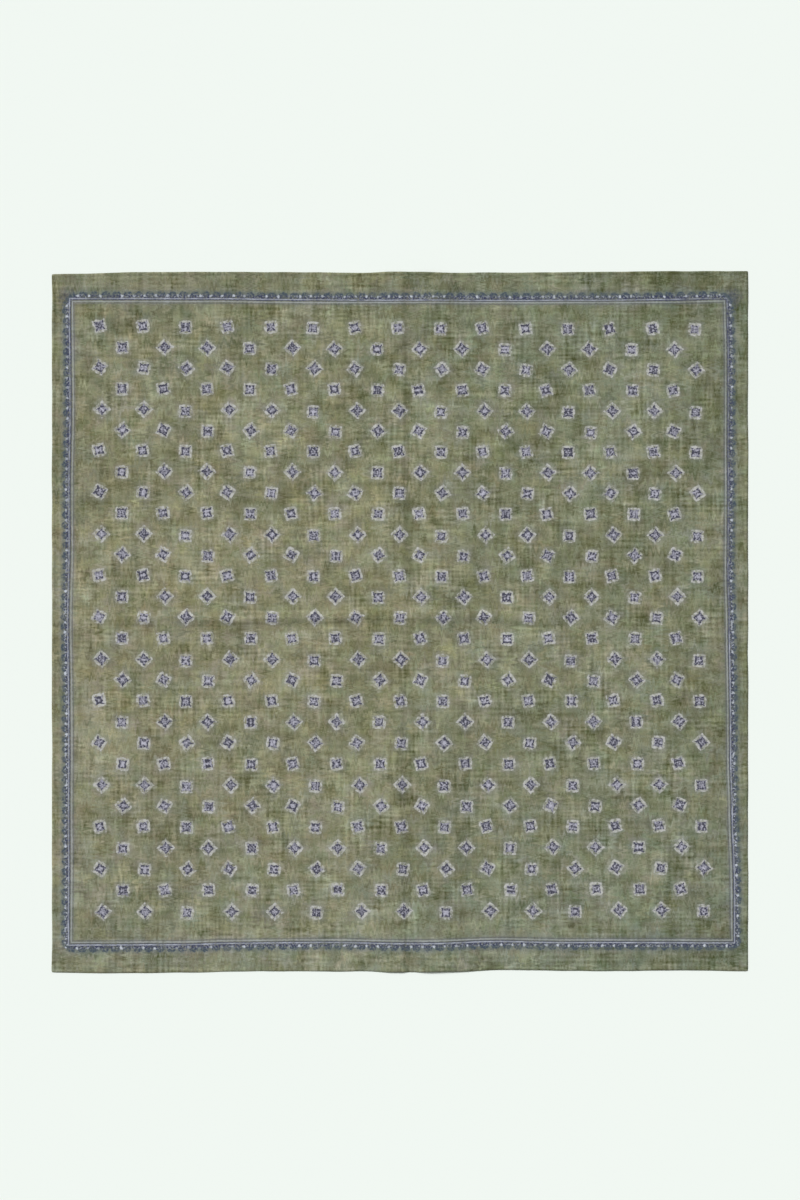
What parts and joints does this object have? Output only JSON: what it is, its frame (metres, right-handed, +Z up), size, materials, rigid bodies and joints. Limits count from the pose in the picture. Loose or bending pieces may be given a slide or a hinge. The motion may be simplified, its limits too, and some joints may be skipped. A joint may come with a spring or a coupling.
{
  "type": "square cotton scarf",
  "caption": "Square printed cotton scarf laid open and flat in one layer, with a narrow rolled hem, a fold mark down and across its middle, and low swells in the cloth.",
  "frame": {"origin": "on the surface that the scarf lies on, under the middle of its box", "axes": "+X towards the right edge, +Y towards the far edge, which is the top edge in the picture, and +Z up out of the printed side"},
  "size_m": [0.6, 0.6052, 0.0028],
  "materials": {
    "printed_cotton": "slubbed plain-weave cotton in muted olive green, printed with small turned squares in navy on off-white and a navy dotted border, matt"
  },
  "bodies": {
    "root": {"scarf": "printed_cotton"}
  },
  "joints": []
}
